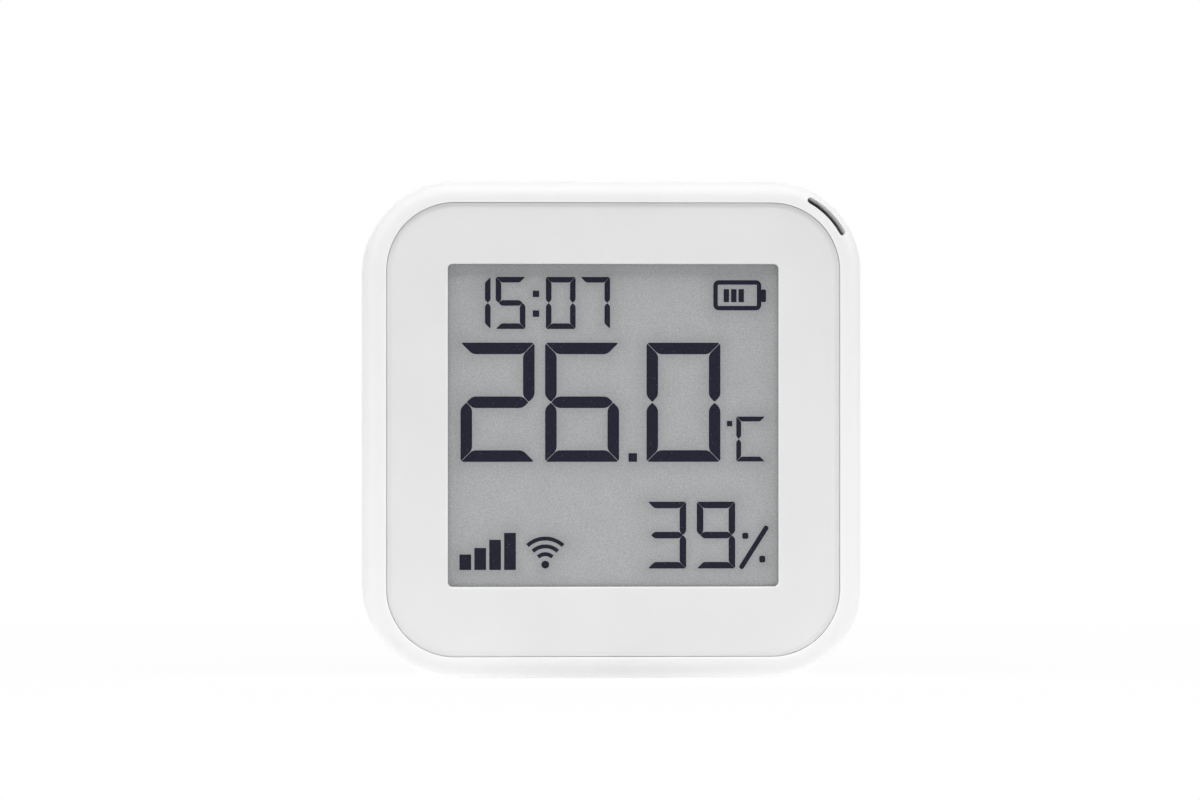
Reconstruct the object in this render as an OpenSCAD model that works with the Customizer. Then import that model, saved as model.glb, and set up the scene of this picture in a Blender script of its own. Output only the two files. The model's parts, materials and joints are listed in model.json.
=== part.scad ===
// Room sensor that shows temperature and humidity on an e-paper display behind a window.
// It stands on its bottom face: +Z is up, the display faces -Y, and the origin lies under
// the middle of the body. Inside the modules x runs right, y up from the middle of the body,
// and z towards the front, with z = 0 on the front rim, so a depth behind the rim is -z.

/* [Body] */
// Width of the body
body_w = 70; // [69:0.5:84]
// Height of the body
body_h = 70; // [64:0.5:84]
// Depth from the front rim to the back face
body_d = 26; // [23.5:0.5:30]
// Corner radius seen from the front
corner_r = 12.7; // [11.5:0.1:13.5]
// Thickness of the outer wall
wall = 1.8; // [1.6:0.1:1.9]
// Rounding of the front edge
front_edge_r = 2.4; // [1.6:0.1:2.8]

/* [Vent slot] */
// Width of the slot over the sensor
vent_w = 1; // [0.5:0.05:1.1]
// Stretch of the corner that the slot follows, in degrees
vent_span = 32; // [20:1:44]
// Place of the slot on the rounded edge, in degrees round from the front face
vent_lean = 27.5; // [22:0.5:32]
// Tilt of the slot towards the middle of the corner, in degrees
vent_tilt = 16; // [10:1:24]
// Depth behind the rim at which the slot opens into its air chamber
vent_wall = 1.4; // [1.1:0.1:1.7]

/* [Front panel] */
// Width of the rim round the panel
rim_w = 3.05; // [2.95:0.05:3.5]
// Gap between the rim and the panel
panel_gap = 0.06; // [0.04:0.02:0.3]
// Depth of the panel's face behind the rim
panel_inset = 0.35; // [0.1:0.05:0.5]
// Thickness of the panel
panel_t = 1.5; // [1.4:0.05:2]
// Width of the bevel on the panel's outer edge
panel_bevel_w = 0.75; // [0.3:0.05:0.9]
// Depth of that bevel
panel_bevel_t = 0.1; // [0.1:0.05:0.5]
// Width of the ledge that the panel rests on
ledge_w = 2.2; // [1.4:0.1:2.6]
// Thickness of the ledge
ledge_t = 1.2; // [1.2:0.1:1.6]
// Width of each snap hook on the panel
hook_w = 6; // [3:0.5:8]

/* [Display] */
// Width of the window in the panel
window_w = 46.6; // [42:0.2:48]
// Height of the window in the panel
window_h = 45.4; // [42:0.2:46]
// Corner radius of the window
window_r = 0.7; // [0.4:0.1:2]
// Height of the window's middle above the body's middle
window_rise = 0.6; // [0:0.1:1.2]
// Thickness of the panel round the window
window_lip_t = 1.1; // [0.65:0.05:1.2]
// Thickness of the tape frame behind the panel
tape_t = 0.3; // [0.2:0.05:0.4]
// Thickness of the display's film
film_t = 0.35; // [0.25:0.05:0.45]
// Thickness of the display's glass
glass_t = 0.7; // [0.5:0.05:0.8]
// Width of the flex tail
flex_w = 16; // [8:1:20]

/* [Circuit board] */
// Thickness of the board
board_t = 1; // [0.8:0.1:1.2]
// Space for parts between the board and the partition
parts_space = 2.3; // [2.3:0.1:3]
// Side of the square sensor chip
sensor_side = 2.5; // [2:0.1:3]

/* [Battery bay] */
// Diameter of a cell
cell_d = 14; // [13.5:0.1:14.2]
// Length of a cell with its positive nub
cell_len = 50.5; // [49.5:0.1:50.5]
// Distance between the axes of neighbouring cells
cell_pitch = 14.5; // [14.4:0.1:14.6]
// Space between the top cell and the top wall
stack_gap = 1.05; // [0.9:0.05:1.3]
// Length of a contact spring, compressed
spring_len = 3.8; // [3.4:0.1:4]
// Turns of a contact spring
spring_turns = 3; // [2:1:3]
// Diameter of the spring's wire
wire_d = 0.5; // [0.4:0.05:0.5]
// Thickness of the contact plates
contact_t = 0.4; // [0.3:0.05:0.5]
// Thickness of the partition behind the board
partition_t = 1; // [0.8:0.1:1.2]

/* [Sockets] */
// Middle of the USB socket, from the body's middle
usb_x = 8; // [6:0.5:8.5]
// Width of the opening for the plug
usb_cut_w = 12.8; // [12.4:0.1:13.2]
// Height of the opening for the plug
usb_cut_h = 6.2; // [5.8:0.1:6.2]
// Middle of the reset button, from the body's middle
reset_x = -9; // [-11:0.5:-8]
// Diameter of the reset button's stem
reset_d = 3.5; // [3:0.1:3.8]
// Travel of the reset button
reset_travel = 0.3; // [0.2:0.05:0.3]

/* [Back cover] */
// Depth of the cover, from the seam to the back face
cover_depth = 6; // [5.5:0.1:6.2]
// Thickness of the cover's back
cover_t = 1.6; // [1.4:0.1:2]
// Rounding of the back edge
back_edge_r = 3; // [1.5:0.1:3.4]
// Width of each tongue that holds the cover
tongue_w = 7; // [4:0.5:7]
// Radius of the keyhole's entry for the screw head
key_entry_r = 3.6; // [3.6:0.1:4]
// Width of the keyhole's slot for the screw neck
key_slot_w = 3.4; // [3.2:0.1:3.8]
// Distance from the keyhole's entry to its seat
key_travel = 5; // [4.5:0.1:6]

/* [Hidden] */
$fn = 64;

white = "#f1f1ef";
metal = "#c3c5c8";
board_green = "#2f6b4a";
chip_black = "#2b2c30";

// Outline of the space inside the wall
inner_w = body_w - 2 * wall;
inner_h = body_h - 2 * wall;
inner_r = corner_r - wall;

// Panel, its recess and its ledge
recess_w = body_w - 2 * rim_w;
recess_h = body_h - 2 * rim_w;
recess_r = corner_r - rim_w;
panel_w = recess_w - 2 * panel_gap;
panel_h = recess_h - 2 * panel_gap;
panel_r = recess_r - panel_gap;
panel_back = panel_inset + panel_t;
ledge_back = panel_back + ledge_t;
window_edge_r = 0.2;
window_ring = 1;

// Air chamber behind the vent slot
chamber_skin = 0.6;
chamber_bite = 0.6;
chamber_margin = 5;
chamber_entry = 0.4;
chamber_floor = 0.3;

// Snap hooks of the panel
hook_gap = 0.1;
hook_t = 1;
hook_barb = 0.6;
hook_end = ledge_back + 0.8;
hook_spread = 24;

// Display stack, from the panel's pocket back
pocket_front = panel_inset + window_lip_t;
film_front = pocket_front + tape_t;
film_back = film_front + film_t;
glass_back = film_back + glass_t;
film_lip = 1.2;
film_w = window_w + 2 * film_lip;
film_h = window_h + 2 * film_lip;
glass_lip = 0.7;
glass_tail = 2.6;
glass_w = film_w + 2 * glass_lip;
glass_h = film_h + glass_lip + glass_tail;
glass_y = window_rise - (glass_tail - glass_lip) / 2;
glass_foot = glass_y - glass_h / 2;
tape_w = 1;
pocket_gap = 0.3;

// Circuit board
flex_space = 1.5;
hook_space = 1.25;
board_front = max(glass_back + flex_space, ledge_back + hook_space);
board_back = board_front + board_t;
board_gap = 0.6;
board_w = inner_w - 2 * board_gap;
board_h = inner_h - 2 * board_gap;
board_r = inner_r - board_gap;
boss_inset_x = 13.2;
boss_inset_y = 5.4;
boss_x = inner_w / 2 - boss_inset_x;
boss_y = inner_h / 2 - boss_inset_y;
boss_r = 2.4;
screw_r = 0.8;
head_r = 1.5;
head_h = 0.9;
recess_len = 1.7;
recess_t = 0.4;
hole_gap = 0.2;
sensor_h = 0.9;
sensor_reach = board_r - sensor_side / 2 - 1.2;

// Parts on the back of the board
radio_at = [-13, 8];
radio_size = [18, 20];
radio_board_t = 0.8;
shield_size = [16, 13.5];
shield_drop = 2.5;
shield_h = 1.3;
capacitor_w = 3.5;
capacitor_d = 2.8;
capacitor_h = 1.9;
capacitor_places = [[20, 10], [20, 4], [-12, -14], [-18, -14]];
// Chips: x, y, width, height and thickness of each
chips = [[10, 12, 7, 7, 0.9], [11, 0, 6, 5, 0.8], [-4, -14, 3, 3, 1.1], [4, -20, 4, 4, 0.8]];

// Flex tail and its socket
flex_t = 0.15;
flex_lift = 0.6;
flex_drop = 0.7;
flex_clear = 0.3;
flex_bend_r = (board_front - glass_back - flex_lift) / 2;
flex_front = glass_back;
flex_turn_y = glass_foot - flex_drop;
socket_h = 1;
socket_len = 3.4;
socket_rise = 3.6;
socket_y = glass_foot + socket_rise;
socket_mouth = 1.5;

// Seam and back of the cover, with ribs that keep the cells down
seam = body_d - cover_depth;
seam_gap = 0.15;
cover_front = seam + seam_gap;
cover_inner = body_d - cover_t;
rib_gap = 0.3;
rib_least = 0.4;
rib_t = 1.2;
rib_x = 15;

// Height of the middle of the socket and the button, in the strip below the cells
strip_foot = 0.25;
strip_y = usb_cut_h / 2 + strip_foot - inner_h / 2;

// Partition and cells. A bay too small for four standard cells takes thinner ones.
partition_front = board_back + parts_space;
partition_back = partition_front + partition_t;
cell_clear = 0.15;
cradle_floor = 0.1;
cradle_h = 3.6;
bay_wall_t = 1;
strip_gap = 0.05;
least_cell_gap = 0.2;
cell_gap = max(cell_pitch - cell_d, least_cell_gap);
bay_lowest = strip_y + usb_cut_h / 2 + strip_gap + bay_wall_t;
stack_room = inner_h / 2 - stack_gap - bay_lowest - cell_clear;
depth_room = cover_inner - rib_least - rib_gap - partition_back - cradle_floor - cell_clear;
cell_fit_d = min(cell_d, (stack_room - 3 * cell_gap) / 4, depth_room);
cell_step = cell_fit_d + cell_gap;
cell_r = cell_fit_d / 2;
cell_axis = partition_back + cradle_floor + cell_clear + cell_r;
cell_back = cell_axis + cell_r;
stack_rise = inner_h / 2 - stack_gap - 1.5 * cell_step - cell_r;
nub_h = 0.8;
nub_base_r = 2.6;
nub_tip_r = 1.5;
cap_h = 1.3;
cap_r = 2.75;
cap_edge = 0.2;
contact_play = 0.05;
bay_half = (cell_len + spring_len + nub_h) / 2 + contact_play;
cell_shift = (spring_len - nub_h) / 2;
bay_foot = stack_rise - 1.5 * cell_step - cell_r - cell_clear;
end_wall_t = 1.6;
contact_w = 7.4;
contact_reach = contact_w / 2;
contact_fit = 0.1;
tag_w = 2.5;
tag_fit = 0.15;

// Socket and button in the strip below the cells
usb_w = 8.94;
usb_h = 3.26;
usb_wall = 0.3;
usb_len = 10.5;
usb_base = 4;
usb_tongue_w = 6.7;
usb_tongue_t = 0.7;
usb_tongue_inset = 0.7;
usb_mouth = board_back + usb_len;
usb_cut_r = 1.4;
well_wall_t = 1.2;
switch_side = 4.5;
switch_h = 1;
plunger_r = 1.2;
plunger_rise = reset_travel + 0.1;
plunger_len = plunger_rise + 0.3;
plunger_top = board_back + switch_h + plunger_rise;
running_gap = 0.1;
collar_r = 2.6;
collar_front = plunger_top + 0.05;
collar_back = partition_front - 0.1;
tube_r = 2.8;
stem_end = body_d - 0.4;
dish_r = 4;

// Back cover
skirt_t = 2.8;
tongue_t = 1;
tongue_gap = 0.15;
tongue_reach = 1.8;
tongue_spread = 38;
tube_back = seam - tongue_reach - 0.4;
bay_back = seam - 0.3;
reset_hole_gap = 0.35;
key_y = stack_rise + cell_step;
pry_w = 8;
pry_depth = 1.2;

// Conical spring, as rings of its wire: angle, radius, height and lean of the wire.
// Both ends run straight along the axis, and the wire lies flat between them.
spring_base_r = 3.2;
spring_tip_r = 1.6;
spring_taper = spring_base_r - spring_tip_r;
wire_sides = 6;
rings_per_turn = 8;
spring_rise = spring_len - 2 * wire_d;
spring_rings = [
  [0, spring_base_r, 0, 0],
  [0, spring_base_r, wire_d, 45],
  for (i = [1 : spring_turns * rings_per_turn - 1])
    let (t = i / (spring_turns * rings_per_turn))
      [360 * spring_turns * t, spring_base_r - spring_taper * t, wire_d + spring_rise * t, 90],
  [360 * spring_turns, spring_tip_r, spring_len - wire_d, 45],
  [360 * spring_turns, spring_tip_r, spring_len, 0]
];

function cell_y(i) = stack_rise + (1.5 - i) * cell_step;
function plus_side(i) = i % 2 == 0 ? -1 : 1;

// Turns the model from lying on its back to standing on its bottom face.
module upright() {
  translate([0, -body_d / 2, body_h / 2]) rotate([90, 0, 0]) children();
}

// Extrudes a front view between two depths behind the rim.
module slab(from, to) {
  translate([0, 0, -to]) linear_extrude(to - from) children();
}

module rounded_rect(w, h, r) {
  square([w - 2 * r, h], center = true);
  square([w, h - 2 * r], center = true);
  for (sx = [-1, 1], sy = [-1, 1])
    translate([sx * (w / 2 - r), sy * (h / 2 - r)]) circle(r);
}

module stadium(w, h) {
  square([w - h, h], center = true);
  for (s = [-1, 1]) translate([s * (w - h) / 2, 0]) circle(h / 2);
}

// Sweeps a profile round a rounded rectangle. The profile's x runs outwards from the
// outline and its y is z.
module edge_sweep(w, h, r) {
  for (i = [0:3]) {
    a = i % 2 == 0 ? w : h;
    b = i % 2 == 0 ? h : w;
    rotate(90 * i) {
      translate([a / 2, b / 2 - r, 0]) rotate([90, 0, 0]) linear_extrude(b - 2 * r) children();
      translate([a / 2 - r, b / 2 - r, 0]) rotate_extrude(angle = 90) translate([r, 0]) children();
    }
  }
}

// Places children twice on each of the four sides, with x pointing outwards.
module each_side(w, h, spread) {
  for (i = [0:3], s = [-1, 1])
    rotate(90 * i) translate([(i % 2 == 0 ? w : h) / 2, s * spread / 2, 0]) children();
}

// Extrudes a profile in x and z along y, over a width centred on y = 0.
module along_y(width) {
  translate([0, width / 2, 0]) rotate([90, 0, 0]) linear_extrude(width) children();
}

// Quarter disc in the corner where x and y reach zero.
module quarter_disc(r) {
  intersection() {
    translate([-r, -r]) circle(r);
    translate([-r, -r]) square(r);
  }
}

// Lays a drawing of y and z on the inner face of a bay end wall, extruding outwards.
module on_end_wall(side) {
  mirror([side < 0 ? 1 : 0, 0, 0]) translate([bay_half, 0, 0]) rotate([90, 0, 90]) children();
}

// Section of the ring that makes the rim, the panel's ledge and the outer wall.
module ring_profile() {
  quarter_disc(front_edge_r);
  translate([-front_edge_r, -ledge_back]) square([front_edge_r, ledge_back - front_edge_r]);
  translate([-rim_w, -ledge_back]) square([rim_w - front_edge_r, ledge_back]);
  translate([-rim_w - ledge_w, -ledge_back]) square([ledge_w, ledge_t]);
  translate([-wall, -seam]) square([wall, seam - ledge_back]);
}

// Slot that goes through the rounded edge into the air chamber. Its round ends are a hair
// thinner than the slot, so that no two faces just touch.
module vent_slot() {
  end_d = vent_w - 0.02;
  edge_depth = front_edge_r * (1 - cos(vent_lean));
  reach = corner_r - front_edge_r + front_edge_r * sin(vent_lean);
  inside = (vent_wall - edge_depth) / cos(vent_tilt) + chamber_entry;
  outside = 1;
  translate([body_w / 2 - corner_r, body_h / 2 - corner_r, 0]) {
    rotate(45 - vent_span / 2)
      rotate_extrude(angle = vent_span)
        translate([reach, -edge_depth])
          rotate(-vent_tilt)
            translate([-vent_w / 2, -inside]) square([vent_w, inside + outside]);
    for (s = [-1, 1])
      rotate(45 + s * vent_span / 2)
        translate([reach, 0, -edge_depth])
          rotate([0, vent_tilt, 0])
            translate([0, 0, -inside]) cylinder(h = inside + outside, d = end_d);
  }
}

// Chamber that thins the rim behind the slot and leads the air down past the board's edge.
module vent_chamber() {
  span = vent_span + 2 * chamber_margin;
  inner = recess_r + chamber_skin;
  outer = inner_r + chamber_bite;
  foot = partition_front - chamber_floor;
  translate([body_w / 2 - corner_r, body_h / 2 - corner_r, -foot])
    rotate(45 - span / 2)
      rotate_extrude(angle = span)
        translate([inner, 0]) square([outer - inner, foot - vent_wall]);
}

// Outline that reaches half way into the outer wall, so that inner walls join it.
module joined_outline() {
  rounded_rect(inner_w + wall, inner_h + wall, inner_r + wall / 2);
}

// Bed of the cells, with a ridge between neighbours.
module cell_cradle() {
  difference() {
    slab(partition_back, partition_back + cradle_h)
      intersection() {
        joined_outline();
        translate([-bay_half, bay_foot]) square([2 * bay_half, body_h]);
      }
    for (i = [0:3])
      translate([-bay_half, cell_y(i), -cell_axis])
        rotate([0, 90, 0]) cylinder(h = 2 * bay_half, r = cell_r + cell_clear);
  }
}

// Front view of the walls at the ends of the cells and below the last one.
module bay_walls() {
  intersection() {
    joined_outline();
    for (s = [-1, 1])
      translate([s * (bay_half + end_wall_t / 2), bay_foot - bay_wall_t + body_h / 2])
        square([end_wall_t, body_h], center = true);
  }
  translate([-bay_half - end_wall_t, bay_foot - bay_wall_t])
    square([2 * (bay_half + end_wall_t), bay_wall_t]);
}

// Front view of the walls on both sides of the plug's well.
module well_walls() {
  intersection() {
    joined_outline();
    for (s = [-1, 1])
      translate([usb_x + s * (usb_cut_w + well_wall_t) / 2 - well_wall_t / 2, -body_h / 2])
        square([well_wall_t, bay_foot - bay_wall_t / 2 + body_h / 2]);
  }
}

module boss_places() {
  for (sx = [-1, 1], sy = [-1, 1]) translate([sx * boss_x, sy * boss_y, 0]) children();
}

// Seat of a contact plate, open towards the back, over the cells from first to last.
module contact_seat(side, first, last) {
  foot = cell_y(last) - contact_reach - contact_fit;
  head = cell_y(first) + contact_reach + contact_fit;
  front = cell_axis - contact_reach - contact_fit;
  open_back = bay_back + 1;
  on_end_wall(side)
    linear_extrude(contact_t)
      translate([foot, -open_back]) square([head - foot, open_back - front]);
}

// Passage for a contact's tag through the partition.
module tag_passage(i) {
  on_end_wall(-1)
    translate([cell_y(i), -cell_axis, -tag_fit])
      linear_extrude(contact_t + 2 * tag_fit)
        translate([-tag_w / 2 - tag_fit, 0])
          square([tag_w + 2 * tag_fit, cell_axis - partition_front + 1]);
}

// Room for the turn of the flex tail, which a low body has in its ledge.
module flex_room() {
  low = flex_turn_y - flex_bend_r - flex_t - flex_clear;
  half = flex_w / 2 + flex_clear;
  slab(panel_back, board_front)
    translate([-half, low]) square([2 * half, glass_foot - low]);
}

module housing() {
  color(white) upright() difference() {
    union() {
      edge_sweep(body_w, body_h, corner_r) ring_profile();
      slab(partition_front, partition_back) joined_outline();
      cell_cradle();
      slab(partition_back, bay_back) bay_walls();
      slab(partition_back, tube_back) well_walls();
      slab(partition_back, tube_back) translate([reset_x, strip_y]) circle(tube_r);
      boss_places() slab(board_back, partition_front) circle(boss_r);
    }
    vent_slot();
    vent_chamber();
    flex_room();
    boss_places() slab(board_back - 1, partition_front + partition_t / 2) circle(screw_r);
    slab(partition_front - 1, partition_back + 1)
      translate([usb_x, strip_y]) stadium(usb_w + 0.8, usb_h + 0.8);
    slab(partition_front - 1, tube_back + 1)
      translate([reset_x, strip_y]) circle(reset_d / 2 + running_gap);
    for (k = [0:2]) contact_seat(-plus_side(k), k, k + 1);
    for (i = [0, 3]) {
      contact_seat(-1, i, i);
      tag_passage(i);
    }
  }
}

// Section of the panel's bevelled outer edge.
module panel_edge_profile() {
  polygon([[0, -panel_bevel_t], [-panel_bevel_w, 0], [-panel_bevel_w, -panel_t], [0, -panel_t]]);
}

// Section of the lip round the window, with its front edge rounded.
module window_edge_profile() {
  mirror([1, 0]) quarter_disc(window_edge_r);
  translate([0, -window_lip_t]) square([window_edge_r, window_lip_t - window_edge_r]);
  translate([window_edge_r, -window_lip_t]) square([window_ring - window_edge_r, window_lip_t]);
}

// Section of a snap hook, with x = 0 on the inner edge of the ledge.
module hook_profile() {
  translate([-hook_gap - hook_t, -hook_end]) square([hook_t, hook_end - panel_back]);
  polygon([[-hook_gap, -ledge_back - hook_gap], [hook_barb - hook_gap, -ledge_back - hook_gap],
           [hook_barb - hook_gap, -ledge_back - 2.5 * hook_gap], [-hook_gap, -hook_end]]);
}

module front_panel() {
  inset = 2 * panel_bevel_w;
  color(white) upright() {
    translate([0, 0, -panel_inset]) edge_sweep(panel_w, panel_h, panel_r) panel_edge_profile();
    slab(panel_inset, pocket_front) difference() {
      rounded_rect(panel_w - inset, panel_h - inset, panel_r - panel_bevel_w);
      translate([0, window_rise])
        rounded_rect(window_w + 2 * window_ring, window_h + 2 * window_ring, window_r + window_ring);
    }
    translate([0, window_rise, -panel_inset])
      edge_sweep(window_w, window_h, window_r) window_edge_profile();
    slab(pocket_front, panel_back) difference() {
      rounded_rect(panel_w - inset, panel_h - inset, panel_r - panel_bevel_w);
      translate([0, glass_y]) square([glass_w + 2 * pocket_gap, glass_h + 2 * pocket_gap], center = true);
    }
    each_side(recess_w - 2 * ledge_w, recess_h - 2 * ledge_w, hook_spread)
      along_y(hook_w) hook_profile();
  }
}

module display_tape() {
  color("#3a3a3c") upright() slab(pocket_front, film_front) translate([0, window_rise])
    difference() {
      square([film_w, film_h], center = true);
      square([film_w - 2 * tape_w, film_h - 2 * tape_w], center = true);
    }
}

module display_film() {
  color("#adaeae") upright() slab(film_front, film_back)
    translate([0, window_rise]) square([film_w, film_h], center = true);
}

module display_glass() {
  color("#9fb0ae") upright() slab(film_back, glass_back)
    translate([0, glass_y]) square([glass_w, glass_h], center = true);
}

// Flex tail, bonded to the back of the glass, turned round and led into its socket.
module display_flex() {
  back = flex_front + 2 * flex_bend_r + flex_t;
  half = flex_bend_r + flex_t;
  color("#b8792f") upright() translate([-flex_w / 2, 0, 0]) rotate([90, 0, 90]) linear_extrude(flex_w) {
    translate([flex_turn_y, -flex_front - flex_t])
      square([glass_foot + glass_tail - flex_turn_y, flex_t]);
    translate([flex_turn_y, -back])
      square([socket_y + socket_mouth - 0.2 - flex_turn_y, flex_t]);
    translate([flex_turn_y, -(flex_front + back) / 2]) difference() {
      circle(flex_bend_r + flex_t / 2);
      circle(flex_bend_r - flex_t / 2);
      translate([0, -half]) square(2 * half);
    }
  }
}

module flex_socket() {
  mouth_front = flex_front + 2 * flex_bend_r - 0.1;
  color("#e6e2d6") upright() difference() {
    slab(board_front - socket_h, board_front)
      translate([-flex_w / 2 - 1, socket_y]) square([flex_w + 2, socket_len]);
    slab(mouth_front, mouth_front + flex_t + 0.2)
      translate([-flex_w / 2 - 0.2, socket_y - 1]) square([flex_w + 0.4, socket_mouth + 1]);
  }
}

// Places children at the sensor, under the vent slot, with x pointing at the corner.
module at_sensor() {
  translate([body_w / 2 - corner_r, body_h / 2 - corner_r, 0]) rotate(45) children();
}

module main_board() {
  slot_w = 1;
  slot_len = 9;
  color(board_green) upright() slab(board_front, board_back) difference() {
    rounded_rect(board_w, board_h, board_r);
    boss_places() circle(screw_r + hole_gap);
    for (i = [0, 3])
      translate([-bay_half - contact_t / 2, cell_y(i)])
        square([contact_t + 2 * tag_fit, tag_w + 2 * tag_fit], center = true);
    at_sensor()
      translate([sensor_reach - sensor_side / 2 - 1.2, 0]) rotate(90) stadium(slot_len, slot_w);
  }
}

module humidity_sensor() {
  color(chip_black) upright() at_sensor() translate([sensor_reach, 0, 0]) difference() {
    slab(board_front - sensor_h, board_front) square(sensor_side, center = true);
    slab(board_front - sensor_h - 1, board_front - sensor_h / 2) circle(sensor_side / 5);
  }
}

module radio_board() {
  color("#27313a") upright() slab(board_back, board_back + radio_board_t)
    translate(radio_at) square(radio_size, center = true);
}

module radio_shield() {
  from = board_back + radio_board_t;
  color(metal) upright() slab(from, from + shield_h)
    translate(radio_at - [0, shield_drop]) rounded_rect(shield_size.x, shield_size.y, 0.8);
}

module board_chips() {
  color(chip_black) upright()
    for (c = chips)
      slab(board_back, board_back + c[4]) translate([c[0], c[1]]) square([c[2], c[3]], center = true);
}

module board_capacitors() {
  color("#c9a648") upright()
    for (p = capacitor_places)
      slab(board_back, board_back + capacitor_h) translate(p) rounded_rect(capacitor_w, capacitor_d, 0.3);
}

module board_screws() {
  color(metal) upright() boss_places() difference() {
    union() {
      slab(board_front - head_h, board_front) circle(head_r);
      slab(board_front, partition_front) circle(screw_r);
    }
    for (a = [0, 90])
      slab(board_front - head_h - 1, board_front - head_h / 2)
        rotate(a) square([recess_len, recess_t], center = true);
  }
}

module usb_shell() {
  color(metal) upright() slab(board_back, usb_mouth) translate([usb_x, strip_y]) difference() {
    stadium(usb_w, usb_h);
    stadium(usb_w - 2 * usb_wall, usb_h - 2 * usb_wall);
  }
}

module usb_core() {
  base = board_back + usb_base;
  color(chip_black) upright() translate([usb_x, strip_y, 0]) {
    slab(board_back, base) stadium(usb_w - 2 * usb_wall, usb_h - 2 * usb_wall);
    slab(base, usb_mouth - usb_tongue_inset) square([usb_tongue_w, usb_tongue_t], center = true);
  }
}

module reset_switch() {
  color(chip_black) upright() translate([reset_x, strip_y, 0]) difference() {
    slab(board_back, board_back + switch_h) square(switch_side, center = true);
    slab(board_back + switch_h - reset_travel - 0.4, board_back + switch_h + 1)
      circle(plunger_r + running_gap);
  }
}

module switch_plunger() {
  color("#d8d8d4") upright() translate([reset_x, strip_y, 0])
    slab(plunger_top - plunger_len, plunger_top) circle(plunger_r);
}

// Button with a collar that stops at the partition and a dished end in the cover's hole.
module reset_button() {
  color(white) upright() translate([reset_x, strip_y, 0]) difference() {
    union() {
      slab(collar_front, collar_back) circle(collar_r);
      slab(collar_back, stem_end) circle(reset_d / 2);
    }
    translate([0, 0, -stem_end - dish_r + 0.25]) sphere(dish_r);
  }
}

// Flat plate over the cells from first to last.
module contact_plate(side, first, last) {
  on_end_wall(side)
    linear_extrude(contact_t)
      translate([(cell_y(first) + cell_y(last)) / 2, -cell_axis])
        square([cell_y(first) - cell_y(last) + contact_w, contact_w], center = true);
}

module contact_nub(i) {
  on_end_wall(plus_side(i))
    translate([cell_y(i), -cell_axis, -nub_h]) cylinder(h = nub_h, r1 = nub_tip_r, r2 = nub_base_r);
}

// Strip that carries a contact through the partition into the board.
module contact_tag(i) {
  on_end_wall(-1)
    linear_extrude(contact_t)
      translate([cell_y(i) - tag_w / 2, -cell_axis + contact_reach])
        square([tag_w, cell_axis - contact_reach - board_front + 0.3]);
}

module contact_plus() {
  color(metal) upright() {
    contact_plate(-1, 0, 0);
    contact_nub(0);
    contact_tag(0);
  }
}

module contact_minus() {
  color(metal) upright() {
    contact_plate(-1, 3, 3);
    contact_tag(3);
  }
}

// Plate that joins one cell's negative end to the next cell's positive end.
module battery_link(k) {
  color(metal) upright() {
    contact_plate(-plus_side(k), k, k + 1);
    contact_nub(k + 1);
  }
}

function ring_middle(g) = [g[1] * cos(g[0]), g[1] * sin(g[0]), g[2]];

// Points round the wire. A mitred ring is longer, so that the wire keeps its thickness.
function ring_points(g) = let (
    out = [cos(g[0]), sin(g[0]), 0],
    across = [-sin(g[0]) * cos(g[3]), cos(g[0]) * cos(g[3]), -sin(g[3])],
    stretch = g[3] == 45 ? sqrt(2) : 1
  ) [for (j = [0 : wire_sides - 1])
      let (a = 360 * j / wire_sides)
        ring_middle(g) + wire_d / 2 * (cos(a) * out + stretch * sin(a) * across)];

spring_gap = min([
  for (i = [0 : len(spring_rings) - 1], j = [i + rings_per_turn / 2 : 1 : len(spring_rings) - 1])
    norm(ring_middle(spring_rings[i]) - ring_middle(spring_rings[j]))
]) - wire_d;
echo(str("least gap between the spring's turns: ", spring_gap, " mm"));

module spring_coil() {
  n = len(spring_rings);
  s = wire_sides;
  polyhedron(
    [for (g = spring_rings) each ring_points(g)],
    [
      for (j = [1 : s - 2]) [0, j + 1, j],
      for (j = [1 : s - 2]) [(n - 1) * s, (n - 1) * s + j, (n - 1) * s + j + 1],
      for (i = [0 : n - 2], j = [0 : s - 1])
        each [
          [i * s + j, i * s + (j + 1) % s, (i + 1) * s + j],
          [i * s + (j + 1) % s, (i + 1) * s + (j + 1) % s, (i + 1) * s + j]
        ]
    ]
  );
}

module contact_spring(i) {
  color(metal) upright()
    on_end_wall(-plus_side(i))
      translate([cell_y(i), -cell_axis, 0]) mirror([0, 0, 1]) spring_coil();
}

// Cell turned from its section, with the positive nub at the far end.
module cell(i) {
  shoulder = cell_len - cap_h;
  color("#3f6f8f") upright()
    mirror([plus_side(i) < 0 ? 1 : 0, 0, 0])
      translate([cell_shift - cell_len / 2, cell_y(i), -cell_axis])
        rotate([0, 90, 0])
          rotate_extrude()
            polygon([[0, 0], [cell_r - 1.6, 0], [cell_r - 1.4, 0.3], [cell_r - 0.6, 0.3], [cell_r, 0.9],
                     [cell_r, shoulder - 0.7], [cell_r - 0.5, shoulder], [cap_r, shoulder],
                     [cap_r, cell_len - cap_edge], [cap_r - cap_edge, cell_len], [0, cell_len]]);
}

// Section of the cover's skirt and of the edge of its back, with the outer edge rounded.
module cover_profile() {
  edge = back_edge_r + 1;
  intersection() {
    union() {
      translate([-skirt_t, -body_d]) square([skirt_t, body_d - cover_front]);
      translate([-edge, -body_d]) square([edge, cover_t]);
    }
    union() {
      translate([-edge, -body_d]) square([edge - back_edge_r, body_d]);
      translate([-back_edge_r, back_edge_r - body_d]) square([back_edge_r, body_d - back_edge_r]);
      translate([0, -body_d]) mirror([0, 1]) quarter_disc(back_edge_r);
    }
  }
}

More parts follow.
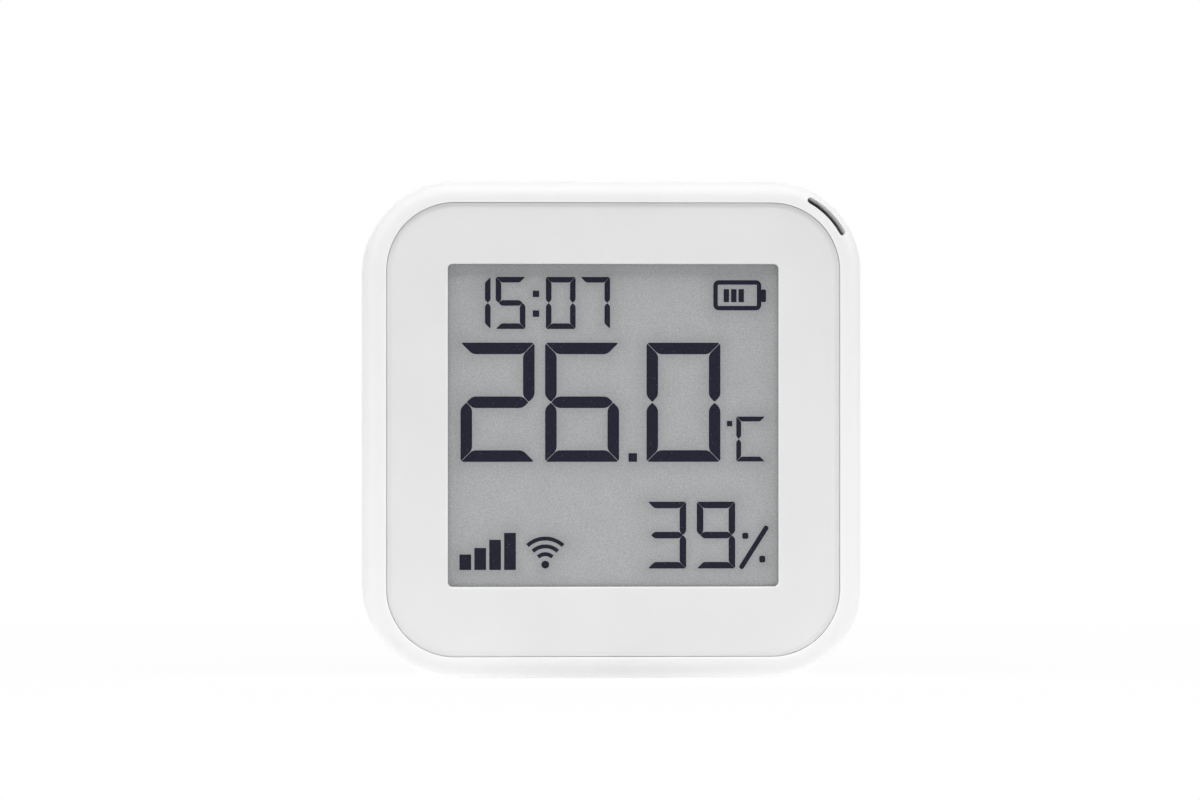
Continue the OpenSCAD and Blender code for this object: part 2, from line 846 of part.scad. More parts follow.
// Keyhole, drawn with its entry at the bottom and its seat at the top.
module keyhole() {
  translate([0, key_y - key_travel / 2]) {
    circle(key_entry_r);
    translate([-key_slot_w / 2, 0]) square([key_slot_w, key_travel]);
    translate([0, key_travel]) circle(key_slot_w / 2);
  }
}

module back_cover() {
  plate_inset = 2 * back_edge_r + 1;
  color(white) upright() difference() {
    union() {
      edge_sweep(body_w, body_h, corner_r) cover_profile();
      slab(cover_inner, body_d)
        rounded_rect(body_w - plate_inset, body_h - plate_inset, corner_r - plate_inset / 2);
      each_side(inner_w - 2 * tongue_gap, inner_h - 2 * tongue_gap, tongue_spread)
        along_y(tongue_w)
          translate([-tongue_t, -cover_front - 2]) square([tongue_t, tongue_reach + seam_gap + 2]);
      for (s = [-1, 1])
        slab(cell_back + rib_gap, cover_inner)
          translate([s * rib_x, stack_rise]) square([rib_t, 4 * cell_step - cell_r], center = true);
    }
    slab(cover_inner - 1, body_d + 1) {
      keyhole();
      translate([reset_x, strip_y]) circle(reset_d / 2 + reset_hole_gap);
    }
    slab(cover_front - 1, body_d + 1)
      translate([usb_x, strip_y]) rounded_rect(usb_cut_w, usb_cut_h, usb_cut_r);
    slab(cover_front - 1, cover_front + pry_depth)
      translate([0, -body_h / 2]) square([pry_w, 2 * pry_depth], center = true);
  }
}

housing();
front_panel();
display_tape();
display_film();
display_glass();
display_flex();
flex_socket();
main_board();
radio_board();
radio_shield();
humidity_sensor();
board_chips();
board_capacitors();
board_screws();
usb_shell();
usb_core();
reset_switch();
switch_plunger();
reset_button();
contact_plus();
contact_minus();
for (k = [0:2]) battery_link(k);
for (i = [0:3]) contact_spring(i);
for (i = [0:3]) cell(i);
back_cover();
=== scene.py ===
# %% [markdown]
# A room sensor is a white moulded case with an e-paper display. The solids come from the CAD
# model, and this lesson gives them their finishes and adds what a mould or a printer leaves on
# them. The first step loads the solids as a fixed frame: nothing in it is moved or reshaped.

# %% Load the solids
import json
import math
import bmesh
import bpy
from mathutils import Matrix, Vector
from mathutils.kdtree import KDTree

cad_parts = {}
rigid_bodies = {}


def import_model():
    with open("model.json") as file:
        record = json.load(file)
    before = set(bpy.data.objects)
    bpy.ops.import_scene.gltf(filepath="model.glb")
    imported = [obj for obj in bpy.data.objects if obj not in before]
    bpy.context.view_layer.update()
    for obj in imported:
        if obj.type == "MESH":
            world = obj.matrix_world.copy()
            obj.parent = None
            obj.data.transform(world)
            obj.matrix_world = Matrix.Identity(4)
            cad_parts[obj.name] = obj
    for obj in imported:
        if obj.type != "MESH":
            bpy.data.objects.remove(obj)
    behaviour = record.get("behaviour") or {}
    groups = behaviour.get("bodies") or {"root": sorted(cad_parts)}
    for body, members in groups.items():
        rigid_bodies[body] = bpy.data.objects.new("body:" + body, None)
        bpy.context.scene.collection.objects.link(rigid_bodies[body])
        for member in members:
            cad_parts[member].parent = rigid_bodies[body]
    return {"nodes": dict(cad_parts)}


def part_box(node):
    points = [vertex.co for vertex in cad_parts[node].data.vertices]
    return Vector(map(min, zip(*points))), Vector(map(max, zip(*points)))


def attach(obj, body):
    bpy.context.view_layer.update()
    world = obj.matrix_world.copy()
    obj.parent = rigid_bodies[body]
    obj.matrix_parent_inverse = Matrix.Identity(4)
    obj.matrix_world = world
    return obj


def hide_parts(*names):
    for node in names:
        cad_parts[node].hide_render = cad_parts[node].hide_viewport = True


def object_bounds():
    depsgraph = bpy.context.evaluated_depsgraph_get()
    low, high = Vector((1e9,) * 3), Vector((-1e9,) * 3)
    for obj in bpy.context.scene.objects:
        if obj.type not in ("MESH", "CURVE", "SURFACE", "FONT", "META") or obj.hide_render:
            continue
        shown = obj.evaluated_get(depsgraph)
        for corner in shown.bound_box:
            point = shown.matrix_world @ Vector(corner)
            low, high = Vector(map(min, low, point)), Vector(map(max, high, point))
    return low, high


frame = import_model()
cad_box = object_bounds()
nodes = frame["nodes"]
print("solids:", len(nodes), "box in mm:", [round(1000 * c, 2) for end in cad_box for c in end])

# %% [markdown]
# Blender counts in metres, but a maker of small things thinks in millimetres. One short value
# turns one into the other, so that every size below can be read like a drawing. The places of
# the body and the display come from the solids themselves, which keeps both models together.

# %% Units and places
mm = 0.001
body_low, body_high = cad_box
body_middle = (body_low + body_high) / 2
film_low, film_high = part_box("display_film")
film_size = film_high - film_low
film_front = film_low.y
print("film front, mm behind the middle of the body:", round(film_front / mm, 3))

# %% [markdown]
# A finish is a node material: textures made by a formula feed colour, roughness and bump of one
# shader. Building such graphs by hand is long-winded, so a small class adds a node per call and
# hands back its output. The surround of the scene uses the same class later.


# %% A class for node graphs
class Graph:
    """A node tree in the making. Most methods add a node and return its output."""

    def __init__(self, tree):
        self.tree = tree

    def add(self, kind, inputs=(), **settings):
        """Adds a node, sets it up and feeds its inputs."""
        node = self.tree.nodes.new(kind)
        for key, value in settings.items():
            setattr(node, key, value)
        for socket, value in dict(inputs).items():
            self.feed(node.inputs[socket], value)
        return node

    def feed(self, socket, value):
        """Links an output to a socket, or sets the socket to a plain value."""
        if isinstance(value, bpy.types.NodeSocket):
            self.tree.links.new(value, socket)
        else:
            socket.default_value = value

    def remap(self, value, low, high, to_low, to_high):
        """Turns the range from low to high into another range and stops at its ends."""
        inputs = {0: value, 1: low, 2: high, 3: to_low, 4: to_high}
        return self.add("ShaderNodeMapRange", inputs).outputs[0]

    def math(self, operation, a, b):
        """A product, a comparison or the larger of two values."""
        return self.add("ShaderNodeMath", {0: a, 1: b}, operation=operation).outputs[0]

    def vector_math(self, operation, a, b=(0, 0, 0)):
        """Returns both outputs, because a length or distance comes out as Value."""
        return self.add("ShaderNodeVectorMath", {0: a, 1: b}, operation=operation).outputs

    def mix(self, factor, a, b):
        """Goes from colour a to colour b as factor goes from 0 to 1."""
        return self.add("ShaderNodeMix", {0: factor, 6: a, 7: b}, data_type="RGBA").outputs[2]

    def seen_rays(self):
        """1 for rays that show a surface to the camera, in a mirror or through glass, else 0."""
        path = self.add("ShaderNodeLightPath").outputs
        mirrored = self.math("MAXIMUM", path["Is Glossy Ray"], path["Is Transmission Ray"])
        return self.math("MAXIMUM", path["Is Camera Ray"], mirrored)


print("graph calls:", [name for name in vars(Graph) if not name.startswith("_")])

# %% [markdown]
# Most finishes need the same few things: cloudy noise, specks, bump and softened edges. A second
# class adds them to a graph that ends in a shader. Noise mostly lies between 0.3 and 0.7, so one
# method spreads that range over the range that a finish needs. Values that never change go
# straight onto the shader's own sockets.

# %% A class for finishes
noise_range = (0.3, 0.7)


class Finish(Graph):
    """A node material in the making."""

    def __init__(self, name, fixed=()):
        self.material = bpy.data.materials.new(name)
        self.material.use_nodes = True
        super().__init__(self.material.node_tree)
        self.shader = self.tree.nodes["Principled BSDF"]
        self.place = self.add("ShaderNodeTexCoord").outputs["Object"]
        for socket, value in dict(fixed).items():
            self.shader.inputs[socket].default_value = value

    def stretched(self, x, y, z):
        """The place on the surface, with each axis scaled."""
        scale = {"Vector": self.place, "Scale": (x, y, z)}
        return self.add("ShaderNodeMapping", scale).outputs["Vector"]

    def noise(self, size, detail=2.0, roughness=0.5, place=None):
        """Cloudy noise whose patches are about size metres across."""
        inputs = {"Vector": place or self.place, "Scale": 1 / size}
        inputs |= {"Detail": detail, "Roughness": roughness}
        return self.add("ShaderNodeTexNoise", inputs).outputs["Fac"]

    def spread(self, noise, to_low, to_high):
        """Spreads the usual range of a noise over another range."""
        return self.remap(noise, *noise_range, to_low, to_high)

    def specks(self, size, reach):
        """1 in a sparse speck in each cell of about size metres, else 0. reach is a share of size."""
        inputs = {"Vector": self.place, "Scale": 1 / size}
        distance = self.add("ShaderNodeTexVoronoi", inputs).outputs["Distance"]
        return self.math("LESS_THAN", distance, reach)

    def bump(self, height, depth, strength, normal=None):
        """Bump of depth metres. It may start from another normal."""
        inputs = {"Height": height, "Distance": depth, "Strength": strength}
        if normal:
            inputs["Normal"] = normal
        return self.add("ShaderNodeBump", inputs).outputs["Normal"]

    def soft_edges(self, radius):
        """Normals that round off sharp moulded edges."""
        return self.add("ShaderNodeBevel", {"Radius": radius}, samples=4).outputs["Normal"]

    def wear(self, colour=None, roughness=None, normal=None):
        """Plugs the finished outputs into the shader and returns the material."""
        for socket, value in {"Base Color": colour, "Roughness": roughness, "Normal": normal}.items():
            if value is not None:
                self.feed(self.shader.inputs[socket], value)
        return self.material


print("finish calls:", [name for name in vars(Finish) if not name.startswith("_")])

# %% [markdown]
# Colours are easiest to judge on a screen, where each part runs from 0 to 255 on a curve. Shaders
# count light itself, so a helper takes the curve off.


# %% Colours
def srgb(red, green, blue):
    """A colour given as on a screen, 0 to 255, as the linear numbers that shaders use."""
    parts = [c / 255 for c in (red, green, blue)]
    return (*[c / 12.92 if c <= 0.04045 else ((c + 0.055) / 1.055) ** 2.4 for c in parts], 1.0)


def grey(level):
    """A neutral grey given as on a screen."""
    return srgb(level, level, level)


print("a screen grey of 128 is light of", round(grey(128)[0], 3))

# %% [markdown]
# The case, the panel and the cover are moulded in white plastic. Their moulds are spark-eroded,
# which leaves a fine even grain and a satin sheen. One noise of a tenth of a millimetre makes the
# grain, a cloudy one shifts the white very slightly, and the roughness follows the grain. Light
# seeps a little way into such plastic, which softens its shadows. Moulded edges are never
# knife-sharp, so the normals turn softly there.

# %% White moulded plastic
grain_size = 0.12 * mm
grain_depth = 0.003 * mm
cloud_size = 14 * mm
edge_rounding = 0.06 * mm
glow_depth = 0.3 * mm
glow_share = 0.8


def moulded_plastic(name, light, shade, rough):
    fixed = {"IOR": 1.47, "Subsurface Weight": glow_share, "Subsurface Scale": glow_depth}
    finish = Finish(name, fixed | {"Subsurface Radius": (1, 1, 1)})
    cloud = finish.noise(cloud_size, detail=3)
    grains = finish.noise(grain_size, detail=3, roughness=0.65)
    tint = finish.mix(finish.spread(cloud, 0, 1), light, shade)
    colour = finish.mix(finish.spread(grains, 0, 0.25), tint, shade)
    normal = finish.bump(grains, grain_depth, 0.6, finish.soft_edges(edge_rounding))
    return finish.wear(colour, finish.spread(grains, *rough), normal)


case_white = moulded_plastic("case_white", grey(247), grey(244), (0.42, 0.56))
panel_white = moulded_plastic("panel_white", grey(237), grey(233), (0.46, 0.6))
button_white = moulded_plastic("button_white", srgb(232, 232, 230), srgb(226, 226, 224), (0.36, 0.48))
print("plastics:", case_white.name, panel_white.name, button_white.name)

# %% [markdown]
# Inside sit bought parts: a green circuit board, black moulded chips, pale sockets, foam tape and
# a glass sheet. They show only through slots or with the cover off, but each still gets the grain
# of its own material: matt epoxy, open foam, and the glass cloth under the solder mask, whose
# threads are two noises stretched across each other.


# %% Finishes of the inner pieces
def speckled(name, light, dark, size, rough, depth):
    """A material whose colour, roughness and surface vary with one noise."""
    finish = Finish(name)
    spots = finish.noise(size, detail=4, roughness=0.6)
    colour = finish.mix(finish.spread(spots, 0, 1), dark, light)
    return finish.wear(colour, finish.spread(spots, *rough), finish.bump(spots, depth, 0.5))


def solder_mask(thread=0.5 * mm, stretch=6):
    finish = Finish("solder_mask")
    warp = finish.noise(thread, 1, place=finish.stretched(1, 1, stretch))
    weft = finish.noise(thread, 1, place=finish.stretched(stretch, 1, 1))
    cloth = finish.math("MAXIMUM", warp, weft)
    colour = finish.mix(finish.remap(cloth, 0.45, 0.75, 0, 1), srgb(28, 92, 62), srgb(52, 124, 86))
    roughness = finish.remap(cloth, 0.4, 0.8, 0.25, 0.38)
    return finish.wear(colour, roughness, finish.bump(cloth, 0.01 * mm, 0.4))


# Light and dark tone, size of the spots, roughness and depth of the bump
inner_looks = {
    "chip_black": (srgb(58, 58, 62), srgb(40, 40, 44), 0.15 * mm, (0.5, 0.7), 0.01 * mm),
    "socket_cream": (srgb(230, 226, 214), srgb(216, 211, 198), 0.4 * mm, (0.4, 0.55), 0.005 * mm),
    "capacitor_yellow": (srgb(214, 176, 80), srgb(196, 158, 66), 0.3 * mm, (0.35, 0.5), 0.006 * mm),
    "flex_amber": (srgb(196, 134, 56), srgb(176, 112, 40), 0.8 * mm, (0.2, 0.32), 0.004 * mm),
    "tape_grey": (srgb(70, 70, 73), srgb(48, 48, 51), 0.2 * mm, (0.8, 0.95), 0.03 * mm),
    "glass_back": (srgb(150, 166, 164), srgb(136, 152, 150), 2 * mm, (0.12, 0.2), 0.001 * mm),
}
inner = {name: speckled(name, *look) for name, look in inner_looks.items()}
inner["board_green"] = solder_mask()
print("inner finishes:", list(inner))

# %% [markdown]
# Sheet metal shows where it was rolled: long fine scratches in one direction. Noise that is
# stretched many times along one axis gives them. The contacts are nickel-plated strip, the spring
# wire is drawn, and the socket's shell and the screws are tinned.

# %% Metals
scratch_size = 0.12 * mm
scratch_depth = 0.004 * mm
tarnish_size = 2.5 * mm


def rolled_metal(name, light, dark, along, rough):
    finish = Finish(name, {"Metallic": 1.0})
    lines = finish.noise(scratch_size, 3, place=finish.stretched(*along))
    cloud = finish.noise(tarnish_size, 3)
    colour = finish.mix(finish.spread(cloud, 0, 1), light, dark)
    return finish.wear(colour, finish.spread(lines, *rough), finish.bump(lines, scratch_depth, 0.4))


# Light and dark tone, stretch along each axis and roughness
metal_looks = {
    "nickel_strip": (srgb(206, 205, 200), srgb(188, 187, 181), (1, 1, 0.05), (0.22, 0.38)),
    "spring_wire": (srgb(198, 197, 193), srgb(176, 175, 170), (1, 0.1, 0.1), (0.2, 0.34)),
    "tinned_steel": (srgb(200, 202, 204), srgb(182, 184, 187), (1, 0.06, 1), (0.25, 0.4)),
}
metal = {name: rolled_metal(name, *look) for name, look in metal_looks.items()}
print("metals:", list(metal))

# %% [markdown]
# Each solid takes its finish by name. A table that follows the record's pieces keeps this in one
# place, and a loop hands the materials out.


# %% Hand out the finishes
def dress(name, finish):
    """Gives a solid its only finish."""
    nodes[name].data.materials.clear()
    nodes[name].data.materials.append(finish)


names_by_finish = [
    (case_white, ["housing", "back_cover"]),
    (panel_white, ["front_panel"]),
    (button_white, ["reset_button"]),
    (inner["tape_grey"], ["display_tape"]),
    (inner["glass_back"], ["display_glass"]),
    (inner["flex_amber"], ["display_flex"]),
    (inner["socket_cream"], ["flex_socket", "switch_plunger"]),
    (inner["board_green"], ["main_board", "radio_board"]),
    (inner["chip_black"], ["humidity_sensor", "board_chips", "usb_core", "reset_switch"]),
    (inner["capacitor_yellow"], ["board_capacitors"]),
    (metal["tinned_steel"], ["radio_shield", "board_screws", "usb_shell"]),
    (metal["nickel_strip"], ["contact_plus", "contact_minus"]),
    (metal["nickel_strip"], [f"battery_link_{k}" for k in range(1, 4)]),
    (metal["spring_wire"], [f"contact_spring_{k}" for k in range(1, 5)]),
]
for finish, names in names_by_finish:
    for name in names:
        dress(name, finish)
print("solids with a finish:", sum(len(names) for finish, names in names_by_finish))

# %% [markdown]
# An AA cell has a plus and a minus printed on its sleeve. The plus belongs at the end with the nub,
# which is the end whose outermost points lie close to the cell's axis. A shader can draw both
# marks as rectangles: it compares the place of a point with the middle of each bar.

# %% Marks on the cells
mark_inset = 8 * mm
mark_long, mark_short = 1.7 * mm, 0.4 * mm
tip_depth = 0.05 * mm


def box_middle(name):
    low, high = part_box(name)
    return (low + high) / 2


def plus_direction(name):
    """1 if the nub is at the end with the larger x, else -1."""
    middle = box_middle(name)
    points = [v.co for v in nodes[name].data.vertices]
    reach = []
    for end in (min(p.x for p in points), max(p.x for p in points)):
        tip = [p for p in points if abs(p.x - end) < tip_depth]
        reach.append(max(math.hypot(p.y - middle.y, p.z - middle.z) for p in tip))
    return 1 if reach[1] < reach[0] else -1


def printed_bar(finish, x, z, half_x, half_z):
    """1 inside a rectangle round a place on the sleeve, else 0."""
    away = finish.vector_math("SUBTRACT", finish.place, (x, 0, z))["Vector"]
    share = finish.vector_math("DIVIDE", away, (half_x, 1, half_z))["Vector"]
    size = finish.vector_math("ABSOLUTE", share)["Vector"]
    parts = finish.add("ShaderNodeSeparateXYZ", {0: size}).outputs
    return finish.math("LESS_THAN", finish.math("MAXIMUM", parts["X"], parts["Z"]), 1.0)


def printed_marks(finish, name):
    """1 inside the plus and the minus of a cell, else 0."""
    low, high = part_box(name)
    middle = box_middle(name)
    plus_reach = ((high.x - low.x) / 2 - mark_inset) * plus_direction(name)
    marks = printed_bar(finish, middle.x - plus_reach, middle.z, mark_short, mark_long)
    for half_size in ((mark_long, mark_short), (mark_short, mark_long)):
        bar = printed_bar(finish, middle.x + plus_reach, middle.z, *half_size)
        marks = finish.math("MAXIMUM", marks, bar)
    return marks


cell_names = [f"cell_{number}" for number in range(1, 5)]
print("direction of the plus along x:", {name: plus_direction(name) for name in cell_names})

# %% [markdown]
# The sleeve is a printed plastic tube, shrunk over the can so that it wraps the edges of both ends,
# and bare steel shows inside. The solids already have the turned shape. Sleeve and steel are told
# apart by the distance from the cell's axis, which a shader can work out from the place of a point.

# %% Sleeves of the cells
sleeve_blue = srgb(74, 118, 148)
scuffed_blue = srgb(92, 136, 164)
printed_blue = srgb(62, 104, 134)
steel_grey = srgb(190, 191, 192)
mark_white = srgb(222, 226, 228)
sleeve_wrap = 1.5 * mm
print_size = 0.3 * mm
scuff_size, scuff_depth = 3 * mm, 0.01 * mm
scuff_stretch = (0.25, 1, 1)
mark_cover = 0.9


def sleeve_finish(name):
    low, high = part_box(name)
    middle = box_middle(name)
    radius = (high.z - low.z) / 2
    finish = Finish(name + "_sleeve", {"IOR": 1.5})
    across = finish.vector_math("MULTIPLY", finish.place, (0, 1, 1))["Vector"]
    reach = finish.vector_math("DISTANCE", across, (0, middle.y, middle.z))["Value"]
    sleeve = finish.math("GREATER_THAN", reach, radius - sleeve_wrap)
    scuffs = finish.noise(scuff_size, 4, place=finish.stretched(*scuff_stretch))
    blue = finish.mix(finish.remap(scuffs, 0.35, 0.7, 0, 0.35), sleeve_blue, scuffed_blue)
    print_noise = finish.noise(print_size, 3)
    printed = finish.mix(finish.spread(print_noise, 0, 0.3), blue, printed_blue)
    marks = finish.math("MULTIPLY", printed_marks(finish, name), mark_cover)
    marked = finish.mix(marks, printed, mark_white)
    colour = finish.mix(sleeve, steel_grey, marked)
    finish.feed(finish.shader.inputs["Metallic"], finish.remap(sleeve, 0, 1, 1.0, 0.0))
    roughness = finish.spread(scuffs, 0.24, 0.4)
    return finish.wear(colour, roughness, finish.bump(scuffs, scuff_depth, 0.3))


for name in cell_names:
    dress(name, sleeve_finish(name))
print("cells with a sleeve:", cell_names)

# %% [markdown]
# The display draws with segments, each a flat bar with mitred ends. An outline with a radius at
# every corner can describe all of them, so the first helper turns corners into arcs. It keeps each
# arc shorter than half of its sides, as a fillet is on a drawing.

# %% Outlines with round corners
longest_cut = 0.45
sharp_cut = 0.0001


def rounded(corners, steps=4):
    """Points of an outline. corners holds x, y and the radius of each corner, in millimetres."""
    points = []
    for i, (x, y, radius) in enumerate(corners):
        here = Vector((x, y))
        back = Vector(corners[i - 1][:2]) - here
        ahead = Vector(corners[(i + 1) % len(corners)][:2]) - here
        half_turn = back.angle(ahead) / 2
        cut = min(radius / math.tan(half_turn), longest_cut * back.length, longest_cut * ahead.length)
        if cut < sharp_cut:
            points.append(here)
            continue
        back, ahead = back.normalized(), ahead.normalized()
        bisector = (back + ahead).normalized()
        middle = here + bisector * (cut / math.cos(half_turn))
        start, end = here + back * cut - middle, here + ahead * cut - middle
        sweep = [start.normalized().slerp(end.normalized(), k / steps) for k in range(steps + 1)]
        points += [middle + direction * start.length for direction in sweep]
    return points


def plate(x, y, width, height, radius):
    """Outline of a rectangle with its lower left corner at x, y."""
    ends = ((x, y), (x + width, y), (x + width, y + height), (x, y + height))
    return rounded([(*end, radius) for end in ends])


print("corner test:", len(plate(0, 0, 2, 1, 0.2)), "points")

# %% [markdown]
# Seven segments make a figure: a to f run clockwise round it from the top, and g lies across the
# middle. Mirroring does most of the work: one upright and one bar are drawn, and the others are
# their mirror images. A fine gap runs along each mitre.

# %% Seven-segment figures
lit_segments = {
    "0": "abcdef", "1": "bc", "2": "abdeg", "3": "abcdg", "5": "acdfg",
    "6": "acdefg", "7": "abc", "9": "abcdfg", "C": "adef",
}


def segment_figure(sign, left, foot, width, height, stroke, gap, corner):
    """Outlines of a figure whose lower left corner is at left, foot. Its outer corners are round."""
    slip = gap / math.sqrt(2)
    middle = height / 2
    tip, bend = 0.1 * stroke, 0.75 * stroke
    # The round outer corner meets the mitre at near and starts to turn in from far.
    near, far = 0.29 * corner, 0.59 * corner
    upright = [
        (0, height - slip - far, corner), (near, height - slip - near, 0),
        (stroke, height - stroke - slip, bend), (stroke, middle + stroke / 2 + slip, bend),
        (stroke / 2, middle + slip, tip), (0, middle + stroke / 2 + slip, bend),
    ]
    bar = [
        (slip + far, height, corner), (slip + near, height - near, 0),
        (stroke + slip, height - stroke, bend), (width - stroke - slip, height - stroke, bend),
        (width - slip - near, height - near, 0), (width - slip - far, height, corner),
    ]
    crossbar = [
        (stroke / 2 + slip, middle, tip), (stroke + slip, middle - stroke / 2, bend),
        (width - stroke - slip, middle - stroke / 2, bend), (width - stroke / 2 - slip, middle, tip),
        (width - stroke - slip, middle + stroke / 2, bend), (stroke + slip, middle + stroke / 2, bend),
    ]

    def over(corners):
        return [(width - x, y, r) for x, y, r in corners]

    def under(corners):
        return [(x, height - y, r) for x, y, r in corners]

    shapes = {
        "a": bar, "b": over(upright), "c": over(under(upright)), "d": under(bar),
        "e": under(upright), "f": upright, "g": crossbar,
    }
    placed = [[(x + left, y + foot, r) for x, y, r in shapes[s]] for s in lit_segments[sign]]
    return [rounded(corners) for corners in placed]


print("segments of a nought:", len(segment_figure("0", 0, 0, 4, 7, 0.7, 0.1, 0.3)))

# %% [markdown]
# On the real display the dark figures lie in the film itself. Here they are very thin inlays: a
# flat face a hair in front of the film, with sides that go into it. Thin solids keep the outlines
# crisp at any distance, and they are real shapes, not a picture on the film. Points all along the
# outlines are kept too, because the film needs to know later where the strokes run.

# %% Inlays in the film
inlay_rise = 0.012 * mm
inlay_sink = 0.02 * mm
outline_points = []


def spaced(outline, step=0.25):
    """Points all along a closed outline, no further apart than step millimetres."""
    points = []
    for i, end in enumerate(outline):
        start = outline[i - 1]
        parts = math.ceil((end - start).length / step)
        points += [start.lerp(end, k / parts) for k in range(parts)]
    return points


def make_object(name, mesh, finish):
    """Turns a mesh in the making into an object of the scene, with its finish."""
    data = bpy.data.meshes.new(name)
    mesh.to_mesh(data)
    mesh.free()
    data.materials.append(finish)
    made = bpy.data.objects.new(name, data)
    bpy.context.scene.collection.objects.link(made)
    return made


def inlay(name, outlines, finish):
    """One piece with a thin plate for each outline, given in millimetres on the display."""
    mesh = bmesh.new()
    for outline in outlines:
        outline_points.extend(spaced(outline))
        rings = []
        for y in (film_front - inlay_rise, film_front + inlay_sink):
            rings.append([mesh.verts.new((p.x * mm, y, p.y * mm)) for p in outline])
        front, back = rings
        mesh.faces.new(front)
        mesh.faces.new(reversed(back))
        for i in range(len(front)):
            mesh.faces.new((front[i - 1], back[i - 1], back[i], front[i]))
    bmesh.ops.recalc_face_normals(mesh, faces=mesh.faces)
    piece = make_object(name, mesh, finish)
    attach(piece, "case")
    print(name, "has", len(outlines), "plates")


print("inlays stand proud by, mm:", round(inlay_rise / mm, 3))

# %% [markdown]
# The ink is a blue-black pigment in tiny capsules. A few of them stay pale, which gives specks in
# the strokes, so a sparse pattern of cells lightens the colour here and there.

# %% Ink of the display
dark_ink, light_ink = srgb(23, 23, 39), srgb(37, 37, 52)
pale_capsule, pale_cover = srgb(150, 150, 154), 0.55
ink_grain, ink_grain_depth = 0.2 * mm, 0.002 * mm
pale_spacing, pale_reach = 0.55 * mm, 0.07


def display_ink():
    finish = Finish("display_ink", {"IOR": 1.45, "Specular IOR Level": 0.15})
    grains = finish.noise(ink_grain, 3)
    blend = finish.mix(finish.spread(grains, 0, 1), dark_ink, light_ink)
    pale = finish.math("MULTIPLY", finish.specks(pale_spacing, pale_reach), pale_cover)
    colour = finish.mix(pale, blend, pale_capsule)
    roughness = finish.spread(grains, 0.45, 0.6)
    return finish.wear(colour, roughness, finish.bump(grains, ink_grain_depth, 0.3))


ink = display_ink()
print("ink:", ink.name)

# %% [markdown]
# Three groups of figures fill the display: the clock at the top, the large temperature across the
# middle and the humidity at the lower right. Each has its own foot line, height and stroke. Places
# are in millimetres, right of the middle of the body and above its bottom.

# %% Clock, temperature and humidity
clock = dict(foot=49.17, width=4.18, height=7.32, stroke=0.78, gap=0.03, corner=0.3)
large = dict(foot=30.47, width=10.42, height=16.77, stroke=1.62, gap=0.07, corner=0.45)
small = dict(foot=15.43, width=5.42, height=9.41, stroke=0.92, gap=0.03, corner=0.34)
clock_places = {"1": -21.44, "5": -16.53, "0": -9.46, "7": -4.6}
large_places = {"2": -21.48, "6": -9.57, "0": 4.73}
small_places = {"3": 4.9, "9": 11.82}
dot_corner = 0.08
colon_left, colon_side = -11.31, 0.9
colon_feet = (50.88, 53.66)
point_left, point_side = 2.18, 1.21


def figures(places, style):
    shapes = [segment_figure(sign, left, **style) for sign, left in places.items()]
    return [outline for figure in shapes for outline in figure]


colon_dots = [plate(colon_left, foot, colon_side, colon_side, dot_corner) for foot in colon_feet]
decimal_point = plate(point_left, large["foot"], point_side, point_side, dot_corner)
inlay("clock_figures", figures(clock_places, clock) + colon_dots, ink)
inlay("temperature_figures", figures(large_places, large) + [decimal_point], ink)

# %% [markdown]
# The signs after the figures are smaller. The unit of the temperature is a small letter of four
# segments with a square dot, and the per cent sign is a slanted bar between two dots.

# %% Degree and per cent signs
unit = dict(foot=30.51, width=4.06, height=6.32, stroke=0.68, gap=0.05, corner=0.2)
unit_left = 17.4
degree_dot = dict(x=16.08, y=35.46, width=0.75, height=0.77, radius=dot_corner)
upper_dot = dict(x=18.25, y=19.6, width=0.85, height=0.85, radius=0.25)
lower_dot = dict(x=20.65, y=16.26, width=0.85, height=0.95, radius=0.25)
slash_foot, slash_head = Vector((17.99, 15.41)), Vector((21.77, 21.39))
slash_thickness = 0.69
slash_corner = 0.45 * slash_thickness


def slash(foot, head, thickness, corner):
    """Outline of a slanted bar with round corners."""
    along = (head - foot).normalized() * thickness / 2
    side = Vector((-along.y, along.x))
    ends = (foot - side, head - side, head + side, foot + side)
    return rounded([(*end, corner) for end in ends])


inlay("degree_sign", segment_figure("C", unit_left, **unit) + [plate(**degree_dot)], ink)
percent_slash = slash(slash_foot, slash_head, slash_thickness, slash_corner)
percent = [plate(**upper_dot), plate(**lower_dot), percent_slash]
inlay("humidity_figures", figures(small_places, small) + percent, ink)
print("outline points so far:", len(outline_points))

# %% [markdown]
# The battery mark is a rounded frame with a nub and three bars. An inlay is a plate without a hole,
# so the frame is made of two halves that meet in the middle, each an outline that runs along the
# outside and back along the inside.


# %% Battery mark
def half_frame(x, y, width, height, radius, line, side):
    """Left or right half of a rounded frame, as one outline. side is -1 or 1."""
    middle_x, middle_y = x + width / 2, y + height / 2
    outer = plate(x, y, width, height, radius)
    inner = plate(x + line, y + line, width - 2 * line, height - 2 * line, radius - line)

    def turn(point):
        return math.atan2(point.y - middle_y, (point.x - middle_x) * side)

    def half(points):
        return sorted((p for p in points if (p.x - middle_x) * side > 0), key=turn)

    foot, inner_foot = Vector((middle_x, y)), Vector((middle_x, y + line))
    head, inner_head = Vector((middle_x, y + height)), Vector((middle_x, y + height - line))
    return [foot, *half(outer), head, inner_head, *reversed(half(inner)), inner_foot]


